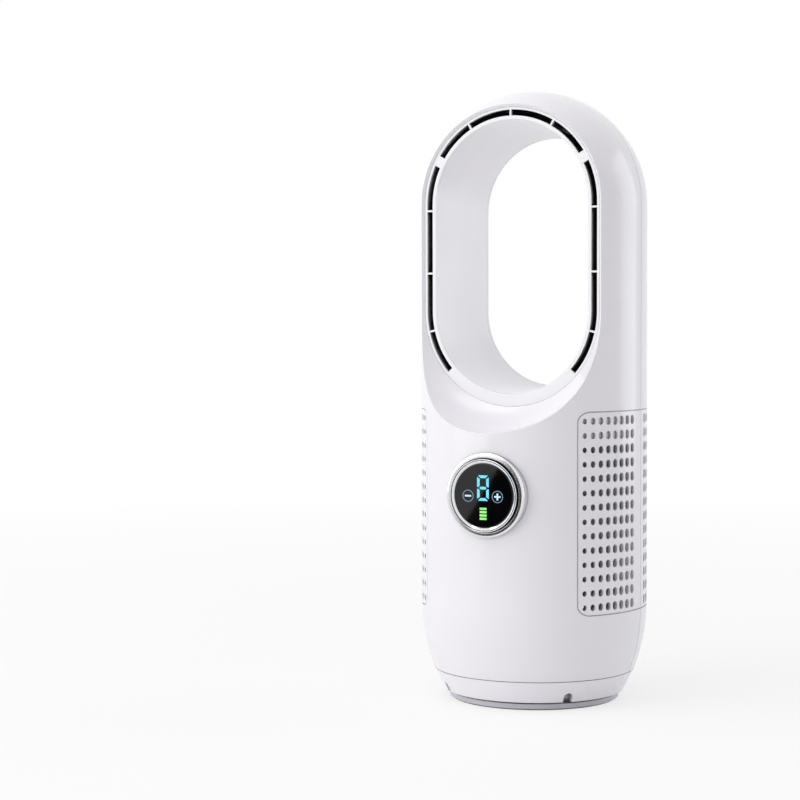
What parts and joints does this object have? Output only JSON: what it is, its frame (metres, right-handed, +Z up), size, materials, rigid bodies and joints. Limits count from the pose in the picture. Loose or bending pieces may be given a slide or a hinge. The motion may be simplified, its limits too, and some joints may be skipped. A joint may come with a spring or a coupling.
{
  "type": "bladeless fan",
  "caption": "Domed cylindrical bladeless table fan: tall rounded opening with a slotted air ring, round touch display, perforated intake panels, swivelling foot.",
  "frame": {"origin": "centre of the foot pad's flat underside, on the table", "axes": "+Z up along the casing's axis; the air leaves towards -Y, the side with the display; the charging inlet faces +Y; +X is on the right seen from the front"},
  "size_m": [0.12, 0.1238, 0.322],
  "materials": {
    "casing_white": "smooth glossy moulding",
    "ring_white": "smooth glossy moulding",
    "liner_white": "satin moulding",
    "foot_grey": "fine spark texture",
    "chrome_trim": "polished",
    "black_glass": "polished, opaque",
    "digit_light": "lit",
    "key_light": "lit",
    "bar_light": "lit",
    "light_guide": "diffusing",
    "pad_rubber": "matt",
    "damper_rubber": "matt",
    "gasket_foam": "open foam",
    "glide_plastic": "smooth",
    "inner_black": "satin moulding",
    "inner_grey": "satin moulding",
    "impeller_plastic": "satin moulding",
    "board_green": "solder mask",
    "component_black": "moulded",
    "cell_sleeve": "shrink sleeve over a metal can",
    "screw_steel": "zinc plated",
    "steel": "ground",
    "lamination": "laminated",
    "magnet": "sintered",
    "copper": "enamelled wire",
    "cable_black": "sheath",
    "ribbon_grey": "flat cable"
  },
  "bodies": {
    "foot": {"foot_disc": "foot_grey", "foot_pad": "pad_rubber", "glide_ring": "glide_plastic", "swivel_retainer": "steel", "swivel_screws": "screw_steel"},
    "housing": {"base_plate": "inner_black", "base_skirt": "casing_white", "base_screws": "screw_steel", "front_shell": "casing_white", "rear_shell": "casing_white", "nozzle_ring": "ring_white", "tunnel_liner": "liner_white", "battery_tray": "inner_black", "battery_cells": "cell_sleeve", "battery_lid": "inner_black", "main_board": "board_green", "board_screws": "screw_steel", "board_components": "component_black", "charging_socket": "steel", "air_divider": "inner_black", "divider_screws": "screw_steel", "duct_gasket": "gasket_foam", "impeller_shroud": "inner_black", "shroud_screws": "screw_steel", "diffuser": "inner_grey", "motor_damper": "damper_rubber", "motor_housing": "steel", "motor_end_bell": "steel", "motor_bearing_lower": "steel", "motor_bearing_upper": "steel", "stator_core": "lamination", "stator_windings": "copper", "motor_cap": "inner_grey", "motor_cable": "cable_black", "display_outer_ring": "chrome_trim", "display_inner_ring": "chrome_trim", "display_lens": "black_glass", "display_carrier": "light_guide", "touch_springs": "steel", "display_board": "board_green", "display_bracket": "inner_black", "display_screws": "screw_steel", "display_ribbon": "ribbon_grey", "speed_digit": "digit_light", "level_bars": "bar_light", "minus_mark": "key_light", "plus_mark": "key_light"},
    "rotor": {"motor_shaft": "steel", "rotor_magnet": "magnet", "impeller": "impeller_plastic", "impeller_nut": "steel"}
  },
  "joints": [
    {"name": "swivel", "type": "hinge", "parent": "foot", "child": "housing", "pos_m": [0, 0, 0], "axis": [0, 0, 1], "range_deg": [-45, 45]},
    {"name": "impeller_spin", "type": "hinge", "parent": "housing", "child": "rotor", "pos_m": [0, 0, 0.1], "axis": [0, 0, 1], "continuous": true}
  ]
}
